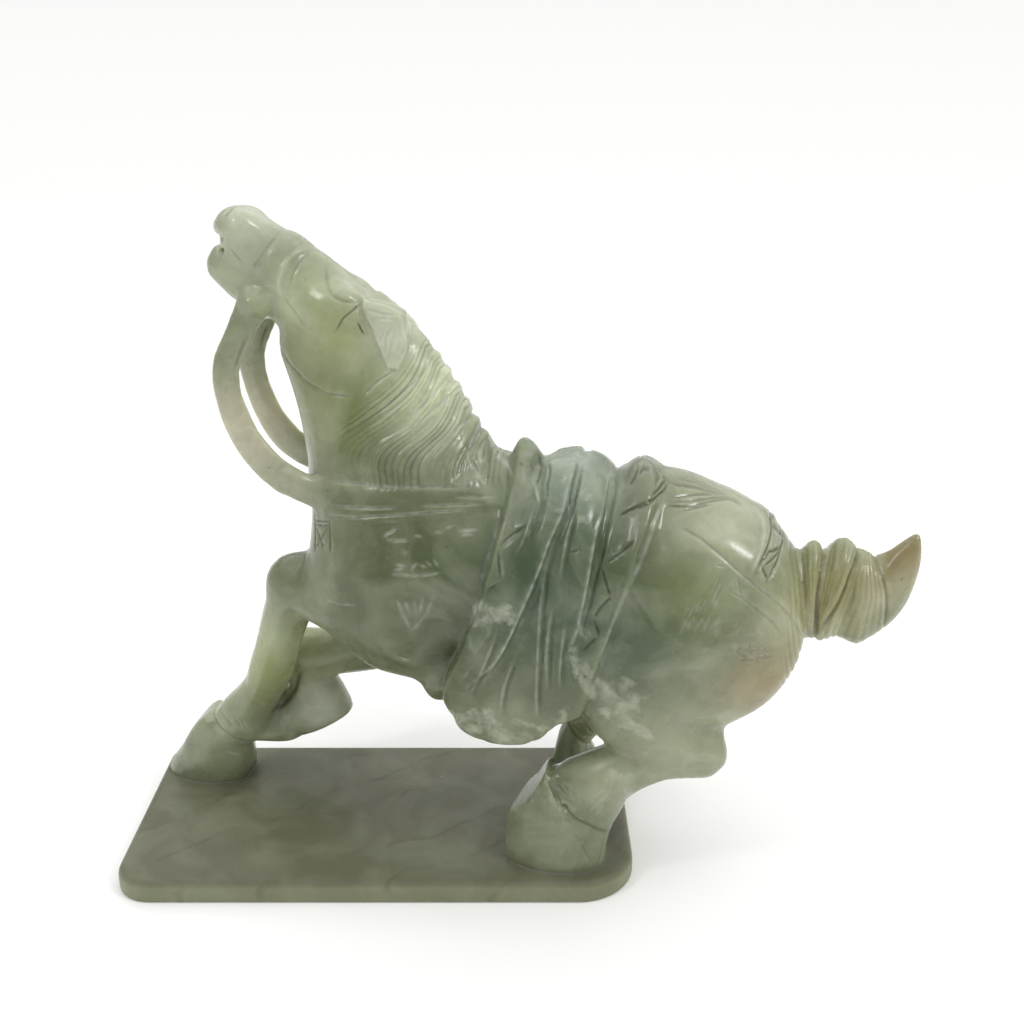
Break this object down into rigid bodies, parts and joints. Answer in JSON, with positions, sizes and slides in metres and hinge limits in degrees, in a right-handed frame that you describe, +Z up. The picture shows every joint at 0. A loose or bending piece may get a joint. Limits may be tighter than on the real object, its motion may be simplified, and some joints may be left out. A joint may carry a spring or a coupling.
{
  "type": "tang horse figurine",
  "caption": "Carved hardstone horse in the Tang manner, saddled and prancing on a low slab, for standing on a shelf or table as an ornament.",
  "frame": {"origin": "centre of the slab's underside, on the surface that the figurine stands on", "axes": "+Z up, +X along the slab's length towards the tail, -Y towards the side that the horse shows to the viewer"},
  "size_m": [0.2282, 0.077, 0.1915],
  "materials": {
    "jade": "polished"
  },
  "bodies": {
    "root": {"tang_horse": "jade"}
  },
  "joints": []
}
